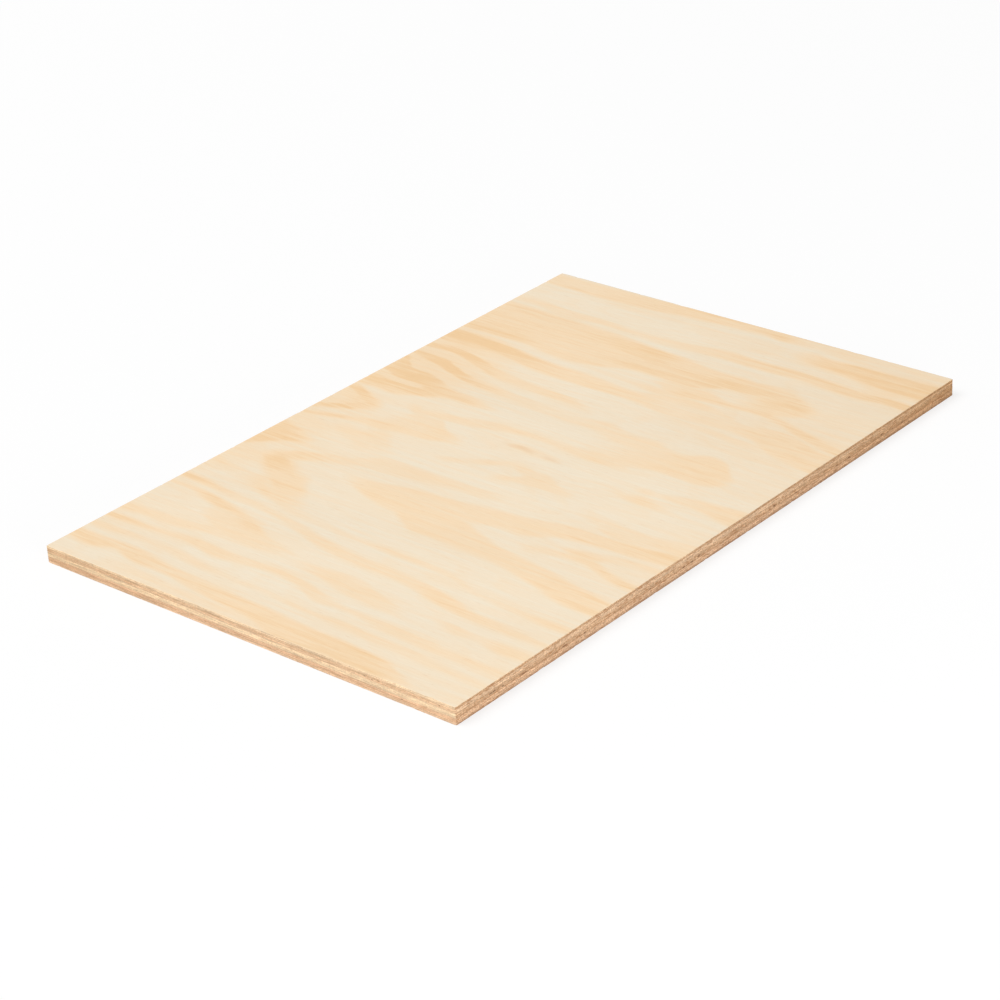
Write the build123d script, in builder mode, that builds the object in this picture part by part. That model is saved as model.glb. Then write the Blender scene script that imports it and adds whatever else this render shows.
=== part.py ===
from build123d import *

import os

# Softwood plywood sheet: five peeled veneers, cross-banded and glued face to face.
# The sheet lies flat. X runs along its length, Y along its width and Z up through the plies, and the
# origin is the middle of the underside. The face, core and back veneers have their grain along Y, and
# the two crossbands between them have theirs along X, so neighbouring plies cross at a right angle.
# All five are pressed oversize and sawn together, so they share one outline with flush, square edges.

# Sawn size of the sheet, in millimetres
sheet_length = 910.0  # across the face grain
sheet_width = 600.0  # along the face grain

# Thickness of each veneer, in millimetres
back_thickness = 2.8
lower_crossband_thickness = 4.9
core_thickness = 5.6
upper_crossband_thickness = 4.9
face_thickness = 2.8

# Width of the sanded corner round the outer side of the face and the back, in millimetres
arris = 0.4

# Height of the underside of each veneer, counted up from the floor through the glue lines
back_level = 0.0
lower_crossband_level = back_level + back_thickness
core_level = lower_crossband_level + lower_crossband_thickness
upper_crossband_level = core_level + core_thickness
face_level = upper_crossband_level + upper_crossband_thickness


def lay_ply(level, thickness):
    """One veneer of the stack, sawn to the sheet's outline, with its underside at the given height."""
    with BuildPart() as ply:
        with BuildSketch(Plane.XY.offset(level)):
            Rectangle(sheet_length, sheet_width)
        extrude(amount=thickness)
    return ply


# Back veneer: the sheet rests on it, and its lower corner is sanded off
with BuildPart() as back_veneer:
    add(lay_ply(back_level, back_thickness).part)
    underside = back_veneer.faces().sort_by(Axis.Z)[0]
    chamfer(underside.edges(), length=arris)

# Lower crossband, core and upper crossband: plain plies, square on every edge
lower_crossband = lay_ply(lower_crossband_level, lower_crossband_thickness)
core_veneer = lay_ply(core_level, core_thickness)
upper_crossband = lay_ply(upper_crossband_level, upper_crossband_thickness)

# Face veneer: the show side, with its upper corner sanded off
with BuildPart() as face_veneer:
    add(lay_ply(face_level, face_thickness).part)
    show_side = face_veneer.faces().sort_by(Axis.Z)[-1]
    chamfer(show_side.edges(), length=arris)

plies = {
    "back_veneer": back_veneer,
    "lower_crossband": lower_crossband,
    "core_veneer": core_veneer,
    "upper_crossband": upper_crossband,
    "face_veneer": face_veneer,
}

os.makedirs("parts", exist_ok=True)
for label, ply in plies.items():
    ply.part.label = label
    export_step(ply.part, f"parts/{label}.step")
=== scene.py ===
import math

import bpy
import numpy as np
from mathutils import Matrix, Vector


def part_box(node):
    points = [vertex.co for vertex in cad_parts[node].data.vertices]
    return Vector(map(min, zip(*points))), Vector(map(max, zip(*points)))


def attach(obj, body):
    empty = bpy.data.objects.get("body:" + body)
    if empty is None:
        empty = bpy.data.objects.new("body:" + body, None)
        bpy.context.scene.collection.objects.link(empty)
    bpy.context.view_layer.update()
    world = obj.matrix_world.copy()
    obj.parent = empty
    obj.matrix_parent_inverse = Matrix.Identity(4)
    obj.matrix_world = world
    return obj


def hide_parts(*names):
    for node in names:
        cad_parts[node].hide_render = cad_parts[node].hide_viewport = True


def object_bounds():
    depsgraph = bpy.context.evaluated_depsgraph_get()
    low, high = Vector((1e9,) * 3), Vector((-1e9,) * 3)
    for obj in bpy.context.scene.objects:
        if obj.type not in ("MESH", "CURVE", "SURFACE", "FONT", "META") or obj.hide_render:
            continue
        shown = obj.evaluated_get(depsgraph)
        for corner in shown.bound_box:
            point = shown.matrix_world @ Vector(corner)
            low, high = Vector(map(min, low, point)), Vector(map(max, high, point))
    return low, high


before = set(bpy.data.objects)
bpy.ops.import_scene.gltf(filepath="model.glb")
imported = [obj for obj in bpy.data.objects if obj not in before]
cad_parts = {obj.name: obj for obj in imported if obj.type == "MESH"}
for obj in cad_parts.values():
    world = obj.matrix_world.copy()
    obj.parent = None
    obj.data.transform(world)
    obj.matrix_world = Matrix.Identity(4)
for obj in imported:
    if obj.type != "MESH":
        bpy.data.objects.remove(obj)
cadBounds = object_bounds()

# A five-ply softwood sheet that lies flat: X along its length, Y along its width and its face grain, Z up.
# Each ply is a new piece with the relief of its wood. Meshes are in metres, and the wood's own detail is set
# in millimetres, counted from the sheet's left end (x), its near edge (y) and the underside of each ply.
mm = 0.001
sheetLow, sheetHigh = cadBounds
sheetLength = (sheetHigh.x - sheetLow.x) / mm
sheetWidth = (sheetHigh.y - sheetLow.y) / mm
edgeNames = ["front", "right", "rear", "left"]  # in the order that the outline is walked


# Curve and noise formulas


# Smooth step: 0 up to t = 0, 1 from t = 1 on, and 3t² - 2t³ between
def softStep(t):
    t = np.clip(t, 0, 1)
    return t * t * (3 - 2 * t)


# A cubic from each knot to the next, with the slope at a knot taken from its neighbours
def curveThrough(at, knots, values):
    slopes = np.gradient(values, knots)
    at = np.clip(at, knots[0], knots[-1])
    i = np.clip(np.searchsorted(knots, at) - 1, 0, len(knots) - 2)
    span = knots[i + 1] - knots[i]
    t = (at - knots[i]) / span
    ahead = softStep(t)
    bend = span * (slopes[i] * t * (1 - t) ** 2 - slopes[i + 1] * t * t * (1 - t))
    return values[i] * (1 - ahead) + values[i + 1] * ahead + bend


# Value noise: a seeded height at every whole-number point, blended between points by the smooth step, -1 to 1
def latticeNoise(u, v, seed):
    period = 256
    heights = np.random.default_rng(seed).uniform(-1, 1, (period, period))
    column = np.floor(u).astype(int)
    row = np.floor(v).astype(int)
    s = softStep(u - column)
    t = softStep(v - row)

    def blend(column):
        near = heights[column % period, row % period]
        far = heights[column % period, (row + 1) % period]
        return near * (1 - t) + far * t

    return blend(column) * (1 - s) + blend(column + 1) * s


# Layered noise: each layer has half the cell and half the height of the one before it
def layeredNoise(u, v, cellU, cellV, seed):
    layers = 3
    total = 0
    for layer in range(layers):
        fine = 2**layer
        total = total + latticeNoise(u / cellU * fine, v / cellV * fine, seed + layer) / fine
    return total / (2 - 2 ** (1 - layers))


# Figure of the face veneer: late-wood streaks where the peeling knife cut along the growth rings.
# A streak's rows give y, the x of its left side, the x of its right side and its depth of tone at that y.
faceStreaks = {
    "leftMargin": [
        (60, -6, 6, 0.3), (90, -6, 18, 0.7), (110, -6, 27, 0.86), (140, -6, 31, 0.9), (200, -6, 34, 0.84),
        (250, -2, 36, 0.78), (310, 14, 40, 0.8), (350, 17, 42, 0.8), (400, 23, 44, 0.8),
        (450, 31, 47, 0.82), (500, 31, 54, 0.86), (528, 39, 54, 0.8), (560, 29, 52, 0.82),
        (610, 31, 54, 0.82),
    ],
    "leftHaze": [
        (230, -8, 10, 0.3), (300, -8, 14, 0.42), (360, -8, 17, 0.4), (420, -8, 18, 0.4), (480, -8, 22, 0.3),
        (520, -8, 20, 0.1),
    ],
    "leftThread": [
        (-10, 41, 52, 0.45), (150, 47, 60, 0.62), (205, 49, 63, 0.62), (255, 51, 61, 0.5),
        (340, 58, 68, 0.22), (440, 62, 73, 0.45), (510, 70, 80, 0.38), (570, 66, 77, 0.6),
        (610, 64, 76, 0.5),
    ],
    "secondThread": [
        (-10, 66, 82, 0.5), (100, 69, 81, 0.64), (165, 72, 87, 0.7), (235, 80, 91, 0.5),
        (265, 77, 96, 0.62), (300, 90, 105, 0.62), (345, 98, 110, 0.6), (400, 90, 106, 0.6),
        (430, 86, 106, 0.7), (455, 92, 107, 0.72), (545, 91, 102, 0.6), (580, 90, 102, 0.85),
        (610, 88, 100, 0.8),
    ],
    "nearThread": [
        (-10, 108, 121, 0.6), (40, 105, 122, 0.7), (66, 109, 120, 0.45), (104, 107, 122, 0.6),
        (136, 112, 121, 0),
    ],
    "oval": [
        (160, 102, 112, 0), (190, 103, 122, 0.4), (222, 105, 131, 0.54), (250, 108, 140, 0.5),
        (295, 119, 139, 0.56), (358, 126, 133, 0),
    ],
    "veeFill": [
        (345, 133, 141, 0), (376, 129, 149, 0.4), (420, 127, 160, 0.66), (450, 129, 176, 0.62),
        (478, 140, 182, 0.5), (500, 150, 186, 0.4), (520, 160, 190, 0),
    ],
    "veeLeftArm": [
        (430, 128, 150, 0.5), (465, 125, 143, 0.62), (520, 114, 131, 0.58), (560, 115, 128, 0.68),
        (595, 110, 127, 0.75), (610, 108, 128, 0.7),
    ],
    "veeRightArm": [
        (440, 158, 178, 0.5), (472, 170, 183, 0.8), (515, 176, 191, 0.87), (535, 180, 195, 0.8),
        (562, 187, 199, 0.65), (610, 187, 199, 0.45),
    ],
    "longStreak": [
        (-10, 135, 147, 0.4), (60, 139, 153, 0.55), (110, 140, 157, 0.7), (150, 146, 167, 0.82),
        (200, 158, 176, 0.68), (300, 163, 181, 0.63), (350, 170, 188, 0.68), (405, 186, 200, 0.55),
        (455, 196, 207, 0.5), (515, 200, 212, 0.5), (565, 206, 218, 0.8), (610, 205, 222, 0.75),
    ],
    "longTwin": [
        (-10, 174, 186, 0.5), (40, 174, 187, 0.6), (72, 178, 187, 0.4), (130, 184, 191, 0.22),
        (190, 199, 207, 0.34), (235, 200, 210, 0.46), (340, 204, 213, 0.36), (395, 208, 218, 0.34),
        (440, 214, 226, 0.5), (468, 221, 233, 0.6),
    ],
    "chevronLeft": [
        (418, 226, 238, 0), (438, 222, 248, 0.42), (454, 222, 268, 0.68), (468, 226, 282, 0.76),
        (486, 238, 288, 0.76), (506, 256, 302, 0.77), (526, 270, 316, 0.84), (544, 285, 320, 0.8),
        (562, 300, 312, 0.42), (578, 304, 309, 0),
    ],
    "chevronOuter": [
        (458, 222, 232, 0), (478, 224, 241, 0.72), (500, 230, 251, 0.8), (518, 232, 260, 0.55),
        (545, 230, 246, 0.2),
    ],
    "chevronRight": [
        (236, 366, 378, 0), (280, 357, 377, 0.4), (315, 354, 374, 0.46), (352, 350, 372, 0.64),
        (405, 344, 374, 0.48), (435, 342, 370, 0.42), (460, 332, 352, 0.45), (480, 326, 347, 0.5),
        (512, 310, 335, 0.74), (532, 303, 328, 0.78), (550, 300, 314, 0.5),
    ],
    "archLeft": [
        (-10, 218, 248, 0.7), (50, 222, 260, 0.72), (110, 238, 273, 0.68), (150, 248, 279, 0.68),
        (185, 251, 283, 0.66), (215, 252, 293, 0.64), (260, 255, 307, 0.62), (285, 255, 309, 0.6),
        (306, 265, 311, 0.6), (330, 277, 312, 0.62), (360, 280, 313, 0.66), (385, 287, 314, 0.66),
        (412, 299, 314, 0.45), (432, 306, 314, 0),
    ],
    "archRight": [
        (-10, 350, 380, 0.78), (45, 344, 368, 0.76), (100, 339, 364, 0.73), (135, 334, 364, 0.7),
        (175, 316, 356, 0.67), (205, 315, 350, 0.62), (230, 309, 348, 0.6), (250, 304, 346, 0.6),
        (300, 303, 338, 0.58), (350, 304, 333, 0.64), (390, 306, 324, 0.62), (418, 308, 319, 0.5),
        (442, 310, 317, 0),
    ],
    "archBranch": [
        (-10, 372, 402, 0.76), (30, 372, 397, 0.62), (60, 368, 393, 0.46), (90, 364, 392, 0.44),
        (125, 378, 400, 0.32), (150, 384, 402, 0.18), (172, 390, 402, 0),
    ],
    "innerArch": [
        (-10, 283, 296, 0.7), (30, 287, 300, 0.72), (55, 295, 308, 0.7), (80, 302, 318, 0.64),
        (105, 300, 314, 0.56), (130, 294, 309, 0.5), (150, 290, 306, 0.4), (172, 296, 304, 0),
    ],
    "innerArchRight": [
        (-10, 324, 338, 0.55), (25, 323, 337, 0.52), (50, 321, 334, 0.55), (80, 313, 329, 0.62),
        (105, 311, 325, 0.55), (124, 314, 322, 0),
    ],
    "farTongue": [
        (526, 353, 362, 0), (543, 347, 367, 0.66), (557, 341, 373, 0.8), (575, 328, 379, 0.87),
        (595, 311, 384, 0.9), (610, 305, 388, 0.9),
    ],
    "farFleck": [(560, 258, 263, 0), (583, 256, 267, 0.6), (610, 262, 276, 0.65)],
    "farHazeLeft": [(538, 258, 290, 0), (575, 240, 325, 0.28), (610, 225, 330, 0.32)],
    "farHazeMiddle": [
        (515, 372, 396, 0), (545, 372, 404, 0.26), (575, 370, 410, 0.32), (610, 384, 424, 0.36),
    ],
    "cloud": [
        (438, 380, 394, 0.3), (455, 377, 412, 0.43), (478, 376, 424, 0.47), (500, 387, 412, 0.52),
        (525, 392, 414, 0.43), (545, 398, 408, 0.2),
    ],
    "dropThread": [
        (455, 435, 450, 0.5), (485, 428, 448, 0.65), (530, 426, 438, 0.75), (556, 419, 431, 0.87),
        (588, 410, 421, 0.75), (610, 406, 415, 0.7),
    ],
    "dropFill": [
        (374, 448, 456, 0), (398, 444, 461, 0.55), (418, 437, 469, 0.65), (448, 433, 496, 0.48),
        (468, 433, 490, 0.5), (484, 434, 476, 0.42), (510, 436, 462, 0),
    ],
    "dropDash": [(468, 476, 488, 0.5), (486, 484, 498, 0.47), (506, 494, 503, 0)],
    "farVeeLeft": [
        (520, 462, 470, 0), (538, 457, 480, 0.76), (552, 449, 474, 0.86), (572, 440, 457, 0.88),
        (610, 423, 440, 0.82),
    ],
    "farVeeRight": [
        (520, 468, 478, 0), (538, 466, 485, 0.76), (556, 474, 491, 0.86), (585, 488, 504, 0.88),
        (610, 497, 513, 0.85),
    ],
    "farVeeFill": [
        (536, 462, 478, 0.5), (562, 456, 486, 0.82), (585, 452, 488, 0.62), (610, 446, 494, 0.45),
    ],
    "midStreak": [
        (190, 503, 522, 0.42), (222, 498, 522, 0.6), (248, 498, 518, 0.52), (282, 502, 518, 0.46),
        (320, 506, 520, 0.5), (352, 502, 518, 0.66), (372, 498, 519, 0.6), (405, 490, 512, 0.55),
        (450, 486, 500, 0.62), (474, 485, 496, 0.5), (492, 486, 493, 0),
    ],
    "tongue": [
        (54, 538, 546, 0), (70, 525, 556, 0.6), (88, 520, 575, 0.72), (116, 519, 584, 0.72),
        (148, 520, 569, 0.72), (172, 513, 572, 0.58), (200, 504, 580, 0.48), (226, 510, 574, 0.26),
        (248, 520, 562, 0.1),
    ],
    "tongueArm": [
        (190, 554, 581, 0.58), (226, 554, 580, 0.6), (272, 563, 588, 0.54), (312, 563, 582, 0.48),
        (362, 567, 584, 0.42), (412, 573, 590, 0.5), (436, 574, 594, 0.7), (478, 578, 598, 0.9),
        (502, 584, 603, 1.03), (545, 599, 619, 1.1), (578, 606, 623, 0.92), (610, 611, 627, 0.85),
    ],
    "farTongueLeft": [
        (398, 537, 546, 0), (440, 532, 553, 0.72), (472, 533, 555, 0.88), (502, 524, 557, 0.92),
        (530, 511, 540, 0.9), (575, 511, 540, 0.96), (610, 508, 546, 0.92),
    ],
    "farTongueRight": [
        (490, 538, 560, 0.6), (515, 541, 571, 0.96), (535, 545, 577, 1.08), (575, 548, 585, 1.02),
        (595, 556, 603, 0.92), (610, 556, 608, 0.9),
    ],
    "farHazeRight": [
        (455, 565, 640, 0), (490, 545, 680, 0.4), (530, 520, 700, 0.58), (575, 510, 702, 0.6),
        (610, 505, 705, 0.55),
    ],
    "farStreak": [
        (300, 598, 607, 0), (357, 604, 620, 0.7), (420, 607, 626, 0.7), (465, 611, 632, 0.86),
        (505, 623, 643, 1), (550, 637, 653, 1.05), (610, 633, 651, 0.85),
    ],
    "broadStreak": [
        (-10, 608, 656, 0.7), (30, 616, 664, 0.68), (60, 622, 676, 0.66), (85, 634, 681, 0.66),
        (105, 643, 678, 0.64), (135, 649, 673, 0.54), (170, 647, 684, 0.42), (205, 643, 691, 0.42),
        (235, 643, 690, 0.46), (282, 651, 676, 0.64), (356, 653, 679, 0.74), (400, 654, 681, 0.78),
        (420, 654, 681, 0.82), (458, 658, 685, 0.94), (500, 664, 692, 1.02), (550, 663, 697, 1.06),
        (610, 662, 699, 1.06),
    ],
    "fanFirst": [(40, 600, 612, 0), (90, 604, 616, 0.25), (150, 607, 621, 0.25), (220, 614, 624, 0)],
    "fanSecond": [(50, 620, 630, 0), (100, 623, 635, 0.47), (190, 631, 642, 0.25), (230, 634, 640, 0)],
    "sideFleck": [(240, 680, 690, 0), (270, 682, 697, 0.42), (320, 685, 696, 0.2), (344, 688, 694, 0)],
    "fanRim": [
        (-10, 661, 680, 0.82), (30, 668, 686, 0.82), (62, 679, 695, 0.8), (95, 693, 706, 0.74),
        (124, 701, 713, 0.7),
    ],
    "fanTip": [(230, 612, 630, 0), (243, 604, 629, 0.22), (258, 606, 624, 0)],
    "broadBody": [
        (118, 754, 776, 0), (150, 750, 779, 0.72), (168, 743, 778, 0.82), (186, 740, 775, 0.86),
        (206, 739, 777, 0.92), (226, 730, 776, 0.88), (250, 719, 776, 0.82), (300, 720, 783, 0.8),
        (345, 719, 788, 0.8), (385, 705, 792, 0.74), (412, 699, 795, 0.72), (500, 706, 799, 0.73),
        (610, 703, 802, 0.72),
    ],
    "bodyFoot": [
        (74, 733, 746, 0), (94, 721, 754, 0.66), (114, 710, 763, 0.74), (134, 703, 774, 0.77),
        (152, 705, 774, 0.66), (172, 712, 760, 0.3), (190, 718, 750, 0),
    ],
    "bodyLeftRim": [
        (470, 712, 724, 0.3), (510, 710, 730, 0.82), (560, 708, 732, 0.82), (610, 706, 730, 0.8),
    ],
    "bodyRim": [
        (290, 748, 776, 0.3), (325, 750, 784, 0.78), (365, 754, 790, 0.82), (412, 764, 795, 0.78),
        (450, 770, 796, 0.76), (520, 784, 800, 0.5), (545, 788, 800, 0.3),
    ],
    "bodyBranch": [
        (126, 701, 718, 0.78), (150, 702, 717, 0.75), (185, 699, 714, 0.72), (225, 694, 722, 0.78),
        (245, 690, 720, 0.7), (266, 692, 722, 0.52), (282, 706, 726, 0.5),
    ],
    "rightStreak": [
        (-10, 800, 822, 0.95), (30, 806, 824, 0.98), (58, 802, 820, 0.96), (115, 806, 824, 0.95),
        (175, 807, 828, 0.87), (215, 805, 826, 0.84), (278, 805, 829, 0.68), (320, 802, 822, 0.52),
        (370, 802, 817, 0.5), (410, 804, 817, 0.48), (462, 806, 820, 0.64), (512, 800, 818, 0.52),
        (548, 807, 825, 0.5), (610, 808, 828, 0.42),
    ],
    "rightSaddle": [(14, 818, 842, 0), (36, 814, 846, 0.45), (60, 814, 846, 0.4), (84, 822, 842, 0)],
    "rightBorder": [
        (150, 896, 912, 0.2), (196, 890, 912, 0.5), (214, 890, 912, 0.68), (236, 888, 912, 0.92),
        (264, 892, 912, 0.86), (290, 890, 912, 0.8), (345, 886, 911, 0.8), (392, 882, 911, 0.8),
        (438, 874, 908, 0.74), (500, 872, 906, 0.77), (610, 875, 906, 0.68),
    ],
    "rightTongue": [
        (-10, 838, 882, 1.1), (40, 838, 881, 1.04), (80, 842, 881, 1.02), (120, 846, 879, 0.98),
        (150, 848, 875, 0.9), (176, 850, 880, 0.66), (214, 860, 868, 0),
    ],
    "rightHaze": [
        (196, 850, 868, 0), (220, 846, 872, 0.25), (270, 838, 876, 0.2), (315, 838, 872, 0.18),
        (350, 862, 876, 0.12), (400, 868, 880, 0.2), (460, 864, 876, 0.3), (520, 866, 876, 0.1),
    ],
    "cornerTone": [(-10, 880, 920, 0.2), (100, 882, 920, 0.25), (150, 884, 920, 0.5), (185, 890, 920, 0.3)],
    "spindle": [
        (66, 448, 454, 0), (100, 444, 457, 0.62), (125, 444, 459, 0.72), (142, 446, 456, 0.55),
        (165, 450, 463, 0.2), (208, 456, 467, 0),
    ],
    "spindleSpot": [(104, 468, 475, 0), (125, 464, 480, 0.36), (144, 467, 476, 0)],
    "nearPatch": [(-10, 454, 497, 0.7), (60, 469, 491, 0.6), (100, 470, 481, 0.36), (116, 472, 478, 0)],
    "brownFleck": [(290, 471, 486, 0.4), (312, 475, 487, 0.66), (325, 476, 486, 0.7), (340, 478, 483, 0)],
    "fleckHaze": [
        (278, 460, 474, 0), (310, 459, 480, 0.2), (345, 462, 490, 0.24), (372, 468, 492, 0.18),
        (400, 478, 490, 0),
    ],
    "smallFleck": [(246, 472, 478, 0), (260, 471, 482, 0.3), (285, 471, 484, 0.3)],
    "diagonal": [
        (258, 429, 443, 0.5), (272, 430, 447, 0.55), (296, 436, 449, 0.48), (322, 422, 437, 0.54),
        (340, 415, 429, 0.42), (372, 403, 415, 0.25), (388, 402, 410, 0),
    ],
    "smallVee": [
        (180, 412, 419, 0), (206, 411, 426, 0.45), (232, 412, 439, 0.57), (250, 411, 442, 0.54),
        (272, 408, 422, 0.52), (294, 401, 412, 0.3), (308, 400, 407, 0),
    ],
}
# Brown pitch in the face, in rows of the same kind
pitchStreaks = {
    "pitchThread": [
        (288, 475, 480, 0), (298, 476, 482, 0.7), (314, 478.5, 485, 1.0), (330, 477, 483, 0.6),
        (344, 480, 485, 0),
    ],
    "pitchTail": [(246, 472, 477.5, 0), (258, 473, 478.5, 0.7), (276, 475, 480.5, 0.6), (286, 476, 481, 0)],
}
figureSettings = {
    "blur": (4.0, 9.0),  # narrowest and widest soft side of a streak
    "blurShare": 0.8,  # soft side as a share of the streak's width, within those limits
    "blotchBlur": {  # widest soft side of the streaks with no clear outline
        "chevronLeft": 24.0, "chevronOuter": 20.0, "cloud": 18.0,
        "farTongue": 14.0, "bodyFoot": 15.0, "rightTongue": 13.0,
    },
    "end": 18.0,  # fade at a streak's two ends
    "deepest": 1.1,
    "join": 5.0,  # power of the sum that joins streaks: the higher, the nearer to the deepest one
    # Noise, as reach or depth, cell across the grain, cell along it, seed
    "sway": (2.0, 36.0, 120.0, 3),  # sideways wander
    "ripple": (0.8, 8.0, 50.0, 13),  # and a finer one
    "fray": (4.0, 9.0, 90.0, 23),  # wander along the grain, which frays the ends
    "threads": (0.26, 3.4, 110.0, 73),  # fine threads of tone along the grain
    "bands": (0.12, 15.0, 180.0, 83),  # and broader ones
    "faintRings": (0.14, 85.0, 420.0, 33, 6),  # between the streaks: depth, cells, seed, number of rings
    # Soft warm patches between the streaks: middle x and y, reach across and along, depth
    "patches": [
        (400, 600, 420, 110, 0.2), (760, 30, 210, 120, 0.26), (700, 240, 80, 150, 0.1),
        (50, 30, 80, 90, 0.14), (330, 20, 110, 70, 0.14),
    ],
    "limits": (-0.2, 1.2),  # least and most figure
}
backSettings = {
    "ripple": (1.5, 7.0, 60.0, 43),
    "broadRings": (0.85, 110.0, 520.0, 53, 4),
    "fineRings": (0.2, 70.0, 420.0, 63, 9),
}
ringShape = {"riseFrom": 0.35, "riseOver": 0.5, "fallOver": 0.12}  # shares of the way from ring to ring


# One streak: its sides and depth are smooth curves of y, and its tone steps up softly at the left side and
# down at the right
def streakTone(x, y, name, rows):
    knots, left, right, depth = np.array(rows, float).T
    west = curveThrough(y, knots, left)
    east = curveThrough(y, knots, right)
    narrowest, widest = figureSettings["blur"]
    widest = figureSettings["blotchBlur"].get(name, widest)
    blur = np.clip(figureSettings["blurShare"] * (east - west), narrowest, widest)
    sides = softStep((x - west) / blur + 0.5) * softStep((east - x) / blur + 0.5)
    end = figureSettings["end"]
    ends = softStep((y - knots[0]) / end + 1) * softStep((knots[-1] - y) / end + 1)
    return np.clip(curveThrough(y, knots, depth), 0, figureSettings["deepest"]) * sides * ends


# Layered noise times its reach or depth
def unevenness(x, y, settings, plySeed=0):
    reach, cellX, cellY, seed = settings
    return reach * layeredNoise(x, y, cellX, cellY, plySeed + seed)


# Growth rings: a smooth hill map stretched along the grain, on which the tone rises slowly towards each
# whole-number height and falls quickly just before it
def ringTone(x, y, settings):
    depth, cellX, cellY, seed, count = settings
    hill = layeredNoise(x, y, cellX, cellY, seed) * count
    phase = hill - np.floor(hill)
    rise = softStep((phase - ringShape["riseFrom"]) / ringShape["riseOver"])
    return depth * (rise * softStep((1 - phase) / ringShape["fallOver"]))


# The streaks of the list, swayed and frayed by noise and joined by a power sum, with faint rings and
# bell-shaped warm patches between them and threads of noise over all. Gives the figure and the pitch
def faceFigure(x, y):
    u = x + unevenness(x, y, figureSettings["sway"])
    u = u + unevenness(x, y, figureSettings["ripple"])
    v = y + unevenness(x, y, figureSettings["fray"])
    join = figureSettings["join"]
    total = sum(streakTone(u, v, name, rows) ** join for name, rows in faceStreaks.items())
    streaks = total ** (1 / join)
    between = ringTone(u, v, figureSettings["faintRings"])
    for middleX, middleY, reachX, reachY, depth in figureSettings["patches"]:
        between = between + depth * np.exp(-(((x - middleX) / reachX) ** 2) - ((y - middleY) / reachY) ** 2)
    figure = streaks + between * np.clip(1 - streaks, 0, 1)
    figure = figure + unevenness(u, v, figureSettings["threads"])
    figure = figure + unevenness(u, v, figureSettings["bands"])
    pitch = sum(streakTone(u, v, name, rows) for name, rows in pitchStreaks.items())
    return np.clip(figure, *figureSettings["limits"]), np.clip(pitch, 0, 1)


# The back has the figure of any peeled veneer, broad rings with finer ones between them, and no pitch
def backFigure(x, y):
    x = x + unevenness(x, y, backSettings["ripple"])
    figure = ringTone(x, y, backSettings["broadRings"]) + ringTone(x, y, backSettings["fineRings"])
    return figure, np.zeros(x.shape)


# Relief of the plies' sawn edges and show sides
edgeSettings = {
    "glueGroove": (0.14, 0.3),  # depth and half width of the groove at a glue line
    # Noise, as depth, cell along the edge, cell up, number added to the ply's seed
    "endGrain": (0.11, 1.1, 0.8, 0),  # roughness of cut fibre ends
    "longGrain": (0.05, 22.0, 0.5, 5),  # roughness of fibres that run along the edge
    "ragged": (0.35, 1.2, 0.7, 9),  # raggedness of a hollow's outline
    "nextEdge": 1000.0,  # how far on in the noise the next edge begins
    "hollowRim": (1.15, 0.7),  # squared distance at which a hollow begins, and the fall to its full depth
    "arrisBend": 0.29,  # share of the sanded corner at the middle of its round, 1 less the cosine of 45°
    "chips": (0.9, 9.0, 2),  # how far the largest chip widens the sanded corner, cell along the edge, seed
    "chipFrom": (0.35, 0.4),  # noise at which a chip begins, and the rise to its full reach
    "cornerWear": (0.2, 0.55, 1.5),  # how far the corners are rubbed off: least, most, reach along the edge
    "cornerNoise": (7, 1.0, 3.5, 13),  # unevenness of that wear: step from corner to corner, cells, seed
    "raisedGrain": (0.05, 0.7, 0.3),  # relief of a show side: depth, shares by the figure and by the fibres
    "fibres": (4.0, 60.0, 4),  # cell across the grain, cell along it, seed
    "hollowLines": (-0.45, -0.25, 0, 0.25, 0.45),  # grid lines across a hollow, as shares of its width
    "cornerLines": (0.35, 0.8),  # and by a corner of the sheet, as distances from it
    "sharpAngle": 40.0,
}


# Walks round the sheet by the front, right, rear and left edges. Gives each point's place, its way inwards,
# its edge and its distance along that edge; a corner's way inwards is the diagonal. The last three are the
# nearest corner's number, its distance and the way from it towards the middle of the sheet
def sawnOutline(xLines, yLines):
    runs = [
        (xLines[:-1], np.full(len(xLines) - 1, yLines[0]), (0, 1)),
        (np.full(len(yLines) - 1, xLines[-1]), yLines[:-1], (-1, 0)),
        (xLines[:0:-1], np.full(len(xLines) - 1, yLines[-1]), (0, -1)),
        (np.full(len(yLines) - 1, xLines[0]), yLines[:0:-1], (1, 0)),
    ]
    place = np.concatenate([np.stack([x, y], 1) for x, y, way in runs])
    inwards = np.concatenate([np.tile(way, (len(x), 1)) for x, y, way in runs]).astype(float)
    edge = np.concatenate([np.full(len(x), number) for number, (x, y, way) in enumerate(runs)])
    starts = np.cumsum([0] + [len(x) for x, y, way in runs[:-1]])
    inwards[starts] = inwards[starts] + inwards[starts - 1]
    fromCorner = (place - [sheetLow.x, sheetLow.y]) / mm
    along = np.where(edge % 2 == 0, fromCorner[:, 0], fromCorner[:, 1])
    size = np.array([sheetLength, sheetWidth])
    beyond = fromCorner > size / 2
    corner = beyond[:, 0] + 2 * beyond[:, 1]
    toCorner = np.minimum(fromCorner, size - fromCorner).sum(1)
    return place, inwards, edge, along, corner, toCorner, np.where(beyond, -1.0, 1.0)


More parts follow.
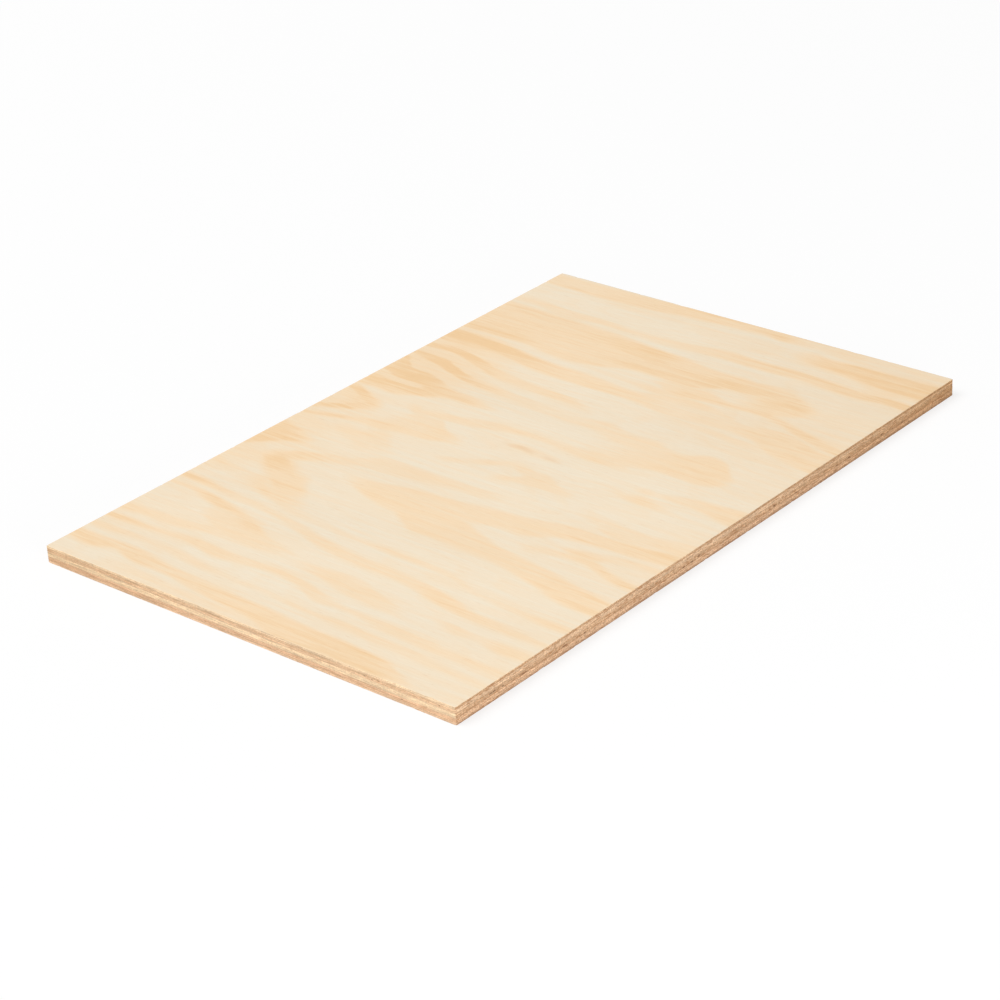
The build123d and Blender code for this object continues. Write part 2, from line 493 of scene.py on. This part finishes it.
# How far the sawn edge lies behind the saw line, and how deep in a hollow it is: glue grooves are bell curves
# of the distance to the glue, roughness is noise with long cells along the grain, hollows are ragged ellipses
def edgeRelief(ply, edge, along, drop, thick):
    along = np.broadcast_to(along, drop.shape)
    edge = np.broadcast_to(edge, drop.shape)
    spread = along + edgeSettings["nextEdge"] * edge
    crossCut = (edge % 2 == 0) == (ply["grain"] == "y")

    def roughness(kind):
        depth, cellU, cellV, seed = edgeSettings[kind]
        return depth * (0.5 + 0.5 * layeredNoise(spread, drop, cellU, cellV, ply["seed"] + seed))

    relief = np.where(crossCut, roughness("endGrain"), roughness("longGrain"))
    depth, half = edgeSettings["glueGroove"]
    relief = relief + depth * np.exp(-(((thick - drop) / half) ** 2))
    if not ply["showSide"]:
        relief = relief + depth * np.exp(-((drop / half) ** 2))
    hollow = np.zeros(drop.shape)
    ragged = unevenness(spread, drop, edgeSettings["ragged"], ply["seed"])
    rim, rise = edgeSettings["hollowRim"]
    for name, middle, level, wide, tall, deep in ply["hollows"]:
        there = edge == edgeNames.index(name)
        far = ((along - middle) * 2 / wide) ** 2 + ((thick - drop - level) * 2 / tall) ** 2
        inside = softStep((rim - far + ragged) / rise) * there
        relief = np.maximum(relief, deep * inside)
        hollow = np.maximum(hollow, inside)
    return relief, hollow


# Rubbed corners: wear fades along the edge as e to the minus distance over reach, and differs with the height
def cornerWear(ply, corner, toCorner, drop):
    least, most, reach = edgeSettings["cornerWear"]
    step, cellU, cellV, seed = edgeSettings["cornerNoise"]
    noise = layeredNoise(np.broadcast_to(step * corner, drop.shape), drop, cellU, cellV, ply["seed"] + seed)
    uneven = 0.5 + 0.5 * noise
    return (least + (most - least) * uneven) * np.exp(-toCorner / reach)


# Width of the sanded corner: its own, and more where noise along the edge rises past the limit for a chip
def chippedArris(ply, edge, along):
    reach, cell, seed = edgeSettings["chips"]
    start, rise = edgeSettings["chipFrom"]
    noise = layeredNoise(along + edgeSettings["nextEdge"] * edge, edge, cell, 1, ply["seed"] + seed)
    return ply["arris"] + reach * softStep((noise - start) / rise)


# Places for grid lines: even steps, with extra lines across the hollows and, on plies with no show side, by
# the corners. They are rounded to a thousandth of a millimetre, so that lines that fall together count once
def gridLines(low, high, ply, step, names):
    even = np.linspace(low, high, round((high - low) / mm / step) + 1)
    across = [hollow for hollow in ply["hollows"] if hollow[0] in names]
    shares = edgeSettings["hollowLines"]
    near = [middle + share * wide for name, middle, level, wide, *rest in across for share in shares]
    lines = np.concatenate([even, low + np.array(near) * mm])
    if not ply["showSide"]:
        ends = np.array(edgeSettings["cornerLines"]) * mm
        lines = np.concatenate([lines, low + ends, high - ends])
    return np.unique(lines.round(6))


# Four-sided faces between rows of points: each is a point, the one below it and the two next to those
def rowFaces(upper, lower):
    return np.stack([upper, lower, np.roll(lower, -1), np.roll(upper, -1)], 1)


# The wall of a ply as rows of points round the outline, each row a drop from the show side and an inset from
# the saw line. An outer ply's first three rows follow its rounded corner. Gives the points and how deep in a
# hollow each one is
def plyWall(ply, outline, thick, showLevel, down):
    place, inwards, edge, along, corner, toCorner, middleWay = outline
    share = np.linspace(0, 1, ply["wallRows"])[:, None]
    if ply["showSide"]:
        arris = chippedArris(ply, edge, along)
        bend = edgeSettings["arrisBend"]
        arrisDrop = np.array([0, bend, 1])[:, None] * arris
        arrisInset = np.array([1, bend, 0])[:, None] * arris
        drop = np.concatenate([arrisDrop, arris + share[1:] * (thick - arris)])
        inset = np.concatenate([arrisInset, np.zeros((len(share) - 1, len(place)))])
        rough = np.minimum(1, np.arange(len(drop)) / 2)[:, None]  # none in the first row, all from the third
    else:
        drop = np.broadcast_to(share * thick, (len(share), len(place)))
        inset = np.zeros(drop.shape)
        rough = 1
    relief, hollow = edgeRelief(ply, edge, along, drop, thick)
    inset = inset + rough * relief
    wall = place[None] + inwards[None] * inset[..., None] * mm
    wall = wall + middleWay[None] * cornerWear(ply, corner, toCorner, drop)[..., None] * mm
    return np.concatenate([wall, (showLevel + down * drop * mm)[..., None]], 2), hollow


# The show side of an outer ply: a grid that sinks by the lack of figure and by noise along the fibres, so
# that late wood stands proud. Gives the points, the figure and the pitch
def showGrid(ply, low, xLines, yLines, showLevel, down):
    gridX, gridY = np.meshgrid(xLines, yLines, indexing="ij")
    x = (gridX - low.x) / mm
    y = (gridY - low.y) / mm
    figure, pitch = ply["figure"](x, y)
    cellX, cellY, seed = edgeSettings["fibres"]
    lift = 0.5 + 0.5 * layeredNoise(x, y, cellX, cellY, ply["seed"] + seed)
    depth, byFigure, byFibre = edgeSettings["raisedGrain"]
    sunk = depth * (byFigure * (1 - np.clip(figure, 0, 1)) + byFibre * lift)
    return np.stack([gridX, gridY, showLevel + down * sunk * mm], 2), figure, pitch


# One ply: its wall, closed on one side by a single face and on the other by one too, or by its show side
def plyPiece(name, ply, materials):
    low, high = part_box(name)
    down = -1 if ply["showSide"] >= 0 else 1
    showLevel = high.z if down < 0 else low.z
    stepX, stepY = ply["steps"]
    xLines = gridLines(low.x, high.x, ply, stepX, ("front", "rear"))
    yLines = gridLines(low.y, high.y, ply, stepY, ("right", "left"))
    wall, hollow = plyWall(ply, sawnOutline(xLines, yLines), (high.z - low.z) / mm, showLevel, down)
    rows = np.arange(hollow.size).reshape(hollow.shape)
    if ply["showSide"]:
        grid, figure, pitch = showGrid(ply, low, xLines, yLines, showLevel, down)
        index = np.arange(figure.size).reshape(figure.shape)
        border = np.concatenate([index[:-1, 0], index[-1, :-1], index[:0:-1, -1], index[0, :0:-1]])
        points = grid.reshape(-1, 3)
        points[border, :2] = wall[0, :, :2]
        points = np.concatenate([points, wall[1:].reshape(-1, 3)])
        rows = np.concatenate([border[None], rows[1:] - len(border) + figure.size])
        show = np.stack([index[:-1, :-1], index[1:, :-1], index[1:, 1:], index[:-1, 1:]], 2).reshape(-1, 4)
        below = np.zeros(len(points) - figure.size)
        marks = {
            "figure": np.concatenate([figure.ravel(), below]),
            "pitch": np.concatenate([pitch.ravel(), below]),
            "hollow": np.concatenate([np.zeros(figure.size), hollow[1:].ravel()]),
        }
    else:
        points = wall.reshape(-1, 3)
        show = rows[:1]
        marks = {"hollow": hollow.ravel()}
    sides = np.concatenate([rowFaces(rows[i], rows[i + 1]) for i in range(len(rows) - 1)])
    order = -down  # a show side that looks down has its faces' points the other way round
    faces = [*show[:, ::order].tolist(), *sides[:, ::order].tolist(), rows[-1][::-order].tolist()]

    mesh = bpy.data.meshes.new(ply["piece"])
    mesh.from_pydata(points, [], faces)
    for label, values in marks.items():
        mesh.attributes.new(label, "FLOAT", "POINT").data.foreach_set("value", values.astype(np.float32))
    for material in materials:
        mesh.materials.append(material)
    slots = np.full(len(faces), len(materials) - 1, dtype=np.int32)
    slots[: len(show)] = 0
    mesh.polygons.foreach_set("material_index", slots)
    mesh.shade_smooth()
    mesh.set_sharp_from_angle(angle=math.radians(edgeSettings["sharpAngle"]))
    mesh.validate()
    piece = bpy.data.objects.new(ply["piece"], mesh)
    bpy.context.scene.collection.objects.link(piece)
    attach(piece, "root")
    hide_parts(name)
    print("made", ply["piece"], len(faces), "faces")


# Node helpers
woodGloss = 0.3
noiseRoughness = 0.55


# Colour as 0 to 255 in sRGB, changed to the linear values that shaders take
def linear(colour):
    parts = np.array(colour) / 255
    parts = np.where(parts <= 0.04045, parts / 12.92, ((parts + 0.055) / 1.055) ** 2.4)
    return (*parts.tolist(), 1.0)


def startMaterial(name):
    material = bpy.data.materials.new(name)
    material.use_nodes = True
    material.node_tree.nodes.clear()
    return material, material.node_tree


# A node whose named or numbered sockets are either linked or set
def addNode(tree, kind, sockets, **options):
    node = tree.nodes.new("ShaderNode" + kind)
    for option, value in options.items():
        setattr(node, option, value)
    for socket, value in sockets.items():
        if isinstance(value, bpy.types.NodeSocket):
            tree.links.new(value, node.inputs[socket])
        else:
            node.inputs[socket].default_value = value
    return node


# The next four add their nodes to the tree that their first value is in
def compute(operation, first, second=0.0):
    return addNode(first.id_data, "Math", {0: first, 1: second}, operation=operation).outputs[0]


def multiply(first, *others):
    for other in others:
        first = compute("MULTIPLY", first, other)
    return first


# Moves a value from one range to another, with a soft start and end. The limits are the two ends of the first
# range and then those of the second, or else 0 and 1
def fade(value, limits, how="SMOOTHSTEP"):
    low, high, bottom, top = (*limits, 0.0, 1.0)[:4]
    sockets = {0: value, 1: low, 2: high, 3: bottom, 4: top}
    return addNode(value.id_data, "MapRange", sockets, interpolation_type=how).outputs[0]


# The same in a straight line
def ramp(value, limits):
    return fade(value, limits, "LINEAR")


def mixColour(tree, share, first, second, how="MIX"):
    sockets = {0: share, 6: first, 7: second}
    return addNode(tree, "Mix", sockets, data_type="RGBA", blend_type=how, clamp_factor=True).outputs[2]


# Darkens or lightens a colour by one factor
def scaleColour(tree, colour, factor):
    grey = addNode(tree, "CombineColor", {0: factor, 1: factor, 2: factor}).outputs[0]
    return mixColour(tree, 1.0, colour, grey, "MULTIPLY")


# Noise whose cells are as long as the three sizes given, in millimetres; a size of 0 leaves that axis out
def cellNoise(tree, place, sizes, detail, shift):
    scale = [1 / (size * mm) if size else 0.0 for size in sizes]
    moved = addNode(tree, "Mapping", {"Vector": place, "Location": (shift, shift, shift), "Scale": scale})
    sockets = {"Vector": moved.outputs[0], "Scale": 1.0, "Detail": detail, "Roughness": noiseRoughness}
    return addNode(tree, "TexNoise", sockets).outputs[0]


# A value that the piece's points carry
def markOn(tree, label):
    return addNode(tree, "Attribute", {}, attribute_name=label).outputs["Fac"]


def finishMaterial(tree, colour, roughness, height, bumpDepth):
    bump = addNode(tree, "Bump", {"Strength": 1.0, "Distance": bumpDepth * mm, "Height": height}).outputs[0]
    sockets = {"Base Color": colour, "Roughness": roughness, "Normal": bump, "Specular IOR Level": woodGloss}
    wood = addNode(tree, "BsdfPrincipled", sockets)
    addNode(tree, "OutputMaterial", {"Surface": wood.outputs[0]})


# Sanded veneer face: cream early wood, orange late wood by the figure, fibres and short resin dashes along Y
showTones = {
    "pale": (243, 231, 210),
    "warm": (247, 221, 186),
    "deep": (243, 208, 162),
    "steps": (-0.2, 0.75, 1.1),  # figure at which the tone is pale, warm and deep
    "resin": (215, 165, 112),
    "resinShare": 0.2,  # most of that tone in a dash or in the pitch
    "fibre": (0.93, 0.9, 0.845, 1.0),  # share of each colour left in the darkest fibres
    "paintedShade": (0.967, 0.962, 0.957, 1.0),  # share left at the right end of the near edge: painted shade where the light falls off towards that corner
    "paintedShadeFrom": (0.2, 0.75),  # X less Y, in metres, where the painted shade begins and where it is darkest
    # Noise, as cell along X, Y and Z, layers of detail, number added to the ply's seed
    "fibres": ((1.3, 34.0, 0), 4.0, 0),
    "fineFibres": ((0.6, 9.0, 0), 2.0, 3),
    "clouds": ((90.0, 260.0, 0), 3.0, 5),
    "dashes": ((1.6, 16.0, 0), 1.0, 7),
    "frayReach": 0.5,  # how far the fibres shift the figure
    # From one noise or figure to another, the share or factor that comes of it
    "fray": (0.0, 0.5, 0.3, 1.0),
    "dashFrom": (0.68, 0.78),
    "darkFibres": (0.25, 0.75, 0.0, 0.55),
    "darkFine": (0.25, 0.75, 0.0, 0.45),
    "cloudShade": (0.3, 0.7, 1.028, 1.053),
    "roughness": (0.0, 1.0, 0.68, 0.56),
    "bump": 0.12,
    "bumpShares": (0.6, 0.4),  # by the fibres and by the fine ones
}


def showMaterial(name, seed):
    material, tree = startMaterial(name)
    place = addNode(tree, "TexCoord", {}).outputs["Object"]
    figure = markOn(tree, "figure")
    pitch = markOn(tree, "pitch")

    def veneerNoise(kind):
        sizes, detail, shift = showTones[kind]
        return cellNoise(tree, place, sizes, detail, seed + shift)

    kinds = ("fibres", "fineFibres", "clouds", "dashes")
    fibre, fine, cloud, dash = (veneerNoise(kind) for kind in kinds)

    # The figure frays along the fibres
    shift = multiply(compute("SUBTRACT", fibre, 0.5), showTones["frayReach"], fade(figure, showTones["fray"]))
    frayed = compute("ADD", figure, shift)
    paleAt, warmAt, deepAt = showTones["steps"]
    warmth = ramp(frayed, (paleAt, warmAt))
    tone = mixColour(tree, warmth, linear(showTones["pale"]), linear(showTones["warm"]))
    tone = mixColour(tree, ramp(frayed, (warmAt, deepAt)), tone, linear(showTones["deep"]))

    # Resin, dark fibres, faint clouds and painted shade towards the near right corner
    resin = multiply(compute("MAXIMUM", fade(dash, showTones["dashFrom"]), pitch), showTones["resinShare"])
    tone = mixColour(tree, resin, tone, linear(showTones["resin"]))
    dark = compute("ADD", ramp(fibre, showTones["darkFibres"]), ramp(fine, showTones["darkFine"]))
    tone = mixColour(tree, dark, tone, showTones["fibre"], "MULTIPLY")
    tone = scaleColour(tree, tone, fade(cloud, showTones["cloudShade"]))
    spot = addNode(tree, "SeparateXYZ", {0: place})
    towards = compute("SUBTRACT", spot.outputs[0], spot.outputs[1])
    tone = mixColour(tree, ramp(towards, showTones["paintedShadeFrom"]), tone, showTones["paintedShade"], "MULTIPLY")

    byFibre, byFine = showTones["bumpShares"]
    height = compute("ADD", multiply(fibre, byFibre), multiply(fine, byFine))
    finishMaterial(tree, tone, fade(frayed, showTones["roughness"]), height, showTones["bump"])
    print("material", name)
    return material


# Sawn edge of one ply. Where the saw ran along the grain it shows long threads and pitch lines, and where it
# cut the fibres' ends it is darker, with torn flecks. Both have saw marks, glue lines, hollows darkened by
# painted shade and a browner far end
edgeTones = {
    "glue": (150, 104, 72),
    # The hollow tone is painted shade inside the hollows where wood tore out
    "hollow": (126, 84, 55),
    "hollowShadeShare": 0.72,  # most of that tone in a hollow: painted shade of the recess
    "fleck": (168, 116, 76),
    "pitch": (182, 126, 80),
    "stain": (0.86, 0.78, 0.65, 1.0),  # share of each colour left at the browner end
    "stainFrom": (0.06, 0.44),  # X where the long edges begin to brown and where they are brownest
    "shortStain": (0.05, 0.3, 0.0, 0.36),  # Y for the short edges, and the share of the stain there
    # Noise, as cell along the edge, cell up, layers of detail, number added to the ply's seed
    "threads": (55.0, 0.8, 3.0, 0),
    "pitchLines": (9.0, 1.0, 2.0, 3),
    "flecks": (4.0, 1.6, 2.0, 5),
    "pores": (1.6, 1.3, 2.0, 7),
    "patches": (30.0, 3.0, 2.0, 9),
    "sawMarks": (2.2, 40.0, 2.0, 11),
    # From one noise to another, the share or factor that comes of it
    "threadShade": (0.3, 0.7, 0.82, 1.14),
    "longPoreShade": (0.3, 0.7, 0.89, 1.08),
    "endPoreShade": (0.3, 0.7, 0.76, 1.2),
    "sawShade": (0.3, 0.7, 0.975, 1.02),
    "patchShade": (0.3, 0.7, 0.88, 1.11),
    "pitchFrom": (0.52, 0.66),
    "fleckFrom": (0.54, 0.68),
    "fleckPatch": (0.35, 0.65, 0.4, 1.0),
    "lateBreak": (0.35, 0.6, 0.3, 1.0),
    "glueBreak": (0.3, 0.7, 0.45, 1.0),
    "facing": (0.35, 0.75),  # part of the normal along X or Y where that edge begins, and where it is in full
    # Off the long edges and on them, the share of the tone
    "pitchShare": (0.0, 1.0, 0.35, 0.8),
    "fleckShare": (0.0, 1.0, 0.2, 0.7),
    "waver": 1.6,  # reach of the late wood's lines up and down
    "lateCore": 0.3,  # share of a late line's half width that has its full depth
    "glueHalf": (0.1, 0.3),  # half width of a glue line: where it begins to fade and where it ends
    "roughness": (0.0, 1.0, 0.7, 0.85),  # along the grain and across it
    "bump": 0.25,
    "sawHeight": 0.6,
}


def edgeMaterial(name, ply, low, high):
    material, tree = startMaterial(name)
    place = addNode(tree, "TexCoord", {}).outputs["Object"]
    hollow = markOn(tree, "hollow")
    normal = addNode(tree, "NewGeometry", {}).outputs["True Normal"]
    split = addNode(tree, "SeparateXYZ", {0: normal})
    spot = addNode(tree, "SeparateXYZ", {0: place})
    level = spot.outputs[2]

    def edgeNoise(kind, seed=ply["seed"]):
        along, up, detail, shift = edgeTones[kind]
        return cellNoise(tree, place, (along, along, up), detail, seed + shift)

    kinds = ("threads", "pitchLines", "flecks", "pores", "patches")
    thread, pitch, fleck, pore, patch = (edgeNoise(kind) for kind in kinds)
    saw = edgeNoise("sawMarks", 0)  # the same for every ply, as one blade cut them all
    onLong = fade(compute("ABSOLUTE", split.outputs[1]), edgeTones["facing"])
    onShort = fade(compute("ABSOLUTE", split.outputs[0]), edgeTones["facing"])
    endCut = onLong if ply["grain"] == "y" else onShort

    tone = mixColour(tree, endCut, linear(ply["longTone"]), linear(ply["endTone"]))
    longPores = fade(pore, edgeTones["longPoreShade"])
    endPores = fade(pore, edgeTones["endPoreShade"])
    pores = addNode(tree, "Mix", {0: onLong, 2: longPores, 3: endPores}).outputs[0]
    shade = multiply(fade(thread, edgeTones["threadShade"]), pores)
    shade = multiply(shade, fade(saw, edgeTones["sawShade"]), fade(patch, edgeTones["patchShade"]))
    tone = scaleColour(tree, tone, shade)

    # Pitch lines and torn flecks
    lines = multiply(fade(pitch, edgeTones["pitchFrom"]), fade(onLong, edgeTones["pitchShare"]))
    tone = mixColour(tree, lines, tone, linear(edgeTones["pitch"]))
    torn = multiply(fade(fleck, edgeTones["fleckFrom"]), fade(patch, edgeTones["fleckPatch"]))
    torn = multiply(torn, fade(onLong, edgeTones["fleckShare"]))
    tone = mixColour(tree, torn, tone, linear(edgeTones["fleck"]))

    # Late wood cut across its ends: wavering lines that come and go along the edge
    waver = multiply(compute("SUBTRACT", patch, 0.5), edgeTones["waver"] * mm)
    for height, half, depth in ply["lateLines"]:
        gap = compute("SUBTRACT", compute("ADD", level, waver), low.z + height * mm)
        core = edgeTones["lateCore"] * half * mm
        line = fade(compute("ABSOLUTE", gap), (core, half * mm, depth, 0.0))
        line = multiply(line, fade(fleck, edgeTones["lateBreak"]), endCut)
        tone = mixColour(tree, line, tone, linear(ply["lateTone"]))

    # Glue lines on the sides that meet another ply, and painted shade in the hollows
    fadeFrom, fadeTo = edgeTones["glueHalf"]
    for side, plane in ((1, high.z), (-1, low.z)):
        if ply["showSide"] != side:
            gap = compute("ABSOLUTE", compute("SUBTRACT", level, plane))
            line = fade(gap, (fadeFrom * mm, fadeTo * mm, ply["glueDepth"], 0.0))
            line = multiply(line, fade(patch, edgeTones["glueBreak"]))
            tone = mixColour(tree, line, tone, linear(edgeTones["glue"]))
    dark = multiply(hollow, edgeTones["hollowShadeShare"])
    tone = mixColour(tree, dark, tone, linear(edgeTones["hollow"]))

    # Browner towards the right end of the long edges and the far end of the short ones
    longStain = multiply(ramp(spot.outputs[0], edgeTones["stainFrom"]), onLong)
    shortStain = multiply(ramp(spot.outputs[1], edgeTones["shortStain"]), onShort)
    stain = compute("MAXIMUM", longStain, shortStain)
    tone = mixColour(tree, stain, tone, edgeTones["stain"], "MULTIPLY")

    height = compute("SUBTRACT", pore, torn)
    height = compute("ADD", height, multiply(saw, edgeTones["sawHeight"]))
    finishMaterial(tree, tone, fade(endCut, edgeTones["roughness"]), height, edgeTones["bump"])
    print("material", name)
    return material


# Places along the core's long edges where wood tore out. A hollow's level, width and height there each begin
# at the first number and grow by the second times the remainder of its place by the third
frontPlaces = [54, 59, 73, 205, 316, 375, 390, 403, 543, 552, 585, 665, 690, 758, 780, 800]
rearPlaces = [31, 118, 162, 240, 259, 333, 417, 498, 560, 640, 655, 733, 849]
tornSettings = {"sizes": [(0.9, 0.5, 5), (3.6, 1.0, 4), (1.5, 0.2, 4)], "depth": 0.8}


def tornHollow(edge, place):
    sizes = [start + step * (place % count) for start, step, count in tornSettings["sizes"]]
    return edge, place, *sizes, tornSettings["depth"]


# The five plies, from the show side down. "steps" are the grid's along X and Y. A hollow is its edge, its
# place along it, its level above the ply's underside, its width, its height and its depth. A late line is its
# level, its half width and its depth of tone
outerPly = {
    "slot": "outer_veneer", "grain": "y", "hollows": [],
    "steps": (1.8, 3.6), "wallRows": 6, "arris": 0.4, "glueDepth": 0.4,
}
innerPly = {"showSide": 0, "steps": (1.4, 1.4), "glueDepth": 0.45}
crossband = {**innerPly, "slot": "crossband", "grain": "x", "wallRows": 12}
plies = {
    "face_veneer": {
        **outerPly, "piece": "faceVeneer", "showSide": 1, "figure": faceFigure, "seed": 101,
        "longTone": (248, 218, 179), "endTone": (232, 193, 152), "lateTone": (188, 136, 94),
        "lateLines": [(1.2, 0.7, 0.75)],
    },
    "upper_crossband": {
        **crossband, "piece": "upperCrossband", "seed": 201,
        "hollows": [
            ("left", 21, 2.4, 3.0, 1.2, 0.5),
            ("left", 103, 2.8, 2.4, 1.4, 0.5),
            ("left", 112, 1.6, 3.2, 1.1, 0.5),
            ("left", 122, 2.6, 2.2, 1.3, 0.4),
            ("right", 180, 2.2, 3.0, 1.3, 0.5),
            ("right", 402, 2.6, 2.6, 1.1, 0.5),
        ],
        "longTone": (245, 207, 168), "endTone": (239, 202, 163), "lateTone": (204, 158, 116),
        "lateLines": [(3.0, 0.5, 0.6)],
    },
    "core_veneer": {
        **innerPly, "piece": "coreVeneer", "slot": "core", "grain": "y", "wallRows": 13, "seed": 301,
        "hollows": [
            *[tornHollow("front", place) for place in frontPlaces],
            ("front", 105, 1.3, 15.0, 1.3, 0.6),
            ("front", 171, 1.5, 11.0, 1.6, 0.6),
            *[tornHollow("rear", place) for place in rearPlaces],
        ],
        "longTone": (253, 223, 183), "endTone": (232, 192, 152), "lateTone": (186, 134, 92),
        "lateLines": [(0.9, 0.9, 0.6), (3.4, 0.6, 0.4)],
    },
    "lower_crossband": {
        **crossband, "piece": "lowerCrossband", "seed": 401,
        "hollows": [
            ("left", 72, 2.6, 3.4, 1.2, 0.5),
            ("left", 352, 2.2, 3.0, 1.2, 0.5),
            ("right", 95, 2.4, 3.0, 1.2, 0.5),
            ("right", 520, 2.8, 2.6, 1.3, 0.5),
        ],
        "longTone": (247, 204, 164), "endTone": (238, 198, 160), "lateTone": (204, 152, 112),
        "lateLines": [(2.2, 0.5, 0.6)],
    },
    "back_veneer": {
        **outerPly, "piece": "backVeneer", "showSide": -1, "figure": backFigure, "seed": 501,
        # Its edge tones are darker than the face veneer's: painted shade along the bottom of the sheet
        "longTone": (236, 200, 164), "endTone": (222, 184, 148), "lateTone": (180, 122, 86),
        "lateLines": [(0.9, 0.8, 0.7)],
    },
}
for nodeName, ply in plies.items():
    edge = edgeMaterial(ply["piece"] + "Edge", ply, *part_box(nodeName))
    if ply["showSide"]:
        plyPiece(nodeName, ply, [showMaterial(ply["piece"] + "Show", ply["seed"]), edge])
    else:
        plyPiece(nodeName, ply, [edge])


# 1 for rays that show the background: the camera's own, and those that gloss or glass sends on
def raySeen(tree):
    path = addNode(tree, "LightPath", {})
    seen = compute("MAXIMUM", path.outputs["Is Camera Ray"], path.outputs["Is Glossy Ray"])
    return compute("MAXIMUM", seen, path.outputs["Is Transmission Ray"])


# Floor: pale for the light that it throws back, white where it is seen, with a quarter of its full shadow
floorSettings = {"half": 8.0, "gap": 0.2 * mm, "pale": 0.8, "shadowShare": 0.25}
white = (1.0, 1.0, 1.0, 1.0)


def makeFloor():
    half = floorSettings["half"]
    level = sheetLow.z - floorSettings["gap"]
    mesh = bpy.data.meshes.new("floor")
    corners = [(-half, -half, level), (half, -half, level), (half, half, level), (-half, half, level)]
    mesh.from_pydata(corners, [], [(0, 1, 2, 3)])
    material, tree = startMaterial("floorWhite")
    seen = raySeen(tree)
    shade = ramp(seen, (0.0, 1.0, floorSettings["pale"], 1.0))
    grey = addNode(tree, "CombineColor", {0: shade, 1: shade, 2: shade})
    matt = addNode(tree, "BsdfDiffuse", {"Color": grey.outputs[0]})
    glow = addNode(tree, "Emission", {"Color": white, "Strength": 1.0})
    share = multiply(seen, 1 - floorSettings["shadowShare"])
    surface = addNode(tree, "MixShader", {0: share, 1: matt.outputs[0], 2: glow.outputs[0]})
    addNode(tree, "OutputMaterial", {"Surface": surface.outputs[0]})
    mesh.materials.append(material)
    floor = bpy.data.objects.new("floor", mesh)
    bpy.context.scene.collection.objects.link(floor)
    print("made floor")


makeFloor()

# Light: an even white room, a soft key from the left and a weak fill, low in front of the long edge
roomLevel = 0.4
keyLight = {"from": (-9.0, 6.9, 18.0), "size": 15.0, "power": 3330.0}  # far off, so that it lights evenly
fillLight = {"from": (-1.1, -2.1, 0.1), "size": 1.0, "power": 25.0}


def makeLight():
    world = bpy.data.worlds.new("room")
    world.use_nodes = True
    tree = world.node_tree
    tree.nodes.clear()
    level = ramp(raySeen(tree), (0.0, 1.0, roomLevel, 1.0))
    room = addNode(tree, "Background", {"Color": white, "Strength": level})
    addNode(tree, "OutputWorld", {"Surface": room.outputs[0]})
    bpy.context.scene.world = world
    for name, settings in (("key", keyLight), ("fill", fillLight)):
        light = bpy.data.lights.new(name, "AREA")
        light.size = settings["size"]
        light.energy = settings["power"]
        holder = bpy.data.objects.new(name, light)
        holder.location = settings["from"]
        holder.rotation_euler = (-Vector(settings["from"])).to_track_quat("-Z", "Y").to_euler()
        bpy.context.scene.collection.objects.link(holder)
    print("made light")


makeLight()

# Camera at the photograph's viewing angle, tilted a little about its own axis
cameraView = {
    "azimuth": -48.282,
    "elevation": 27.272,
    "roll": -3.631,
    "distance": 3.28438,
    "aim": (-0.0735, -0.0364, 0.0105),
    "lens": 104.85,
    "sensor": 36.0,
}


def makeCamera():
    turn, rise, roll = (math.radians(cameraView[part]) for part in ("azimuth", "elevation", "roll"))
    back = Vector((math.sin(turn) * math.cos(rise), -math.cos(turn) * math.cos(rise), math.sin(rise)))
    level = Vector((math.cos(turn), math.sin(turn), 0))
    upright = back.cross(level)
    right = math.cos(roll) * level + math.sin(roll) * upright
    up = math.cos(roll) * upright - math.sin(roll) * level
    data = bpy.data.cameras.new("camera")
    data.lens = cameraView["lens"]
    data.sensor_width = cameraView["sensor"]
    camera = bpy.data.objects.new("camera", data)
    turned = Matrix((right, up, back)).transposed().to_4x4()
    place = Vector(cameraView["aim"]) + back * cameraView["distance"]
    camera.matrix_world = Matrix.Translation(place) @ turned
    bpy.context.scene.collection.objects.link(camera)
    bpy.context.scene.camera = camera
    print("made camera")


makeCamera()
bpy.context.scene.view_settings.view_transform = "Standard"
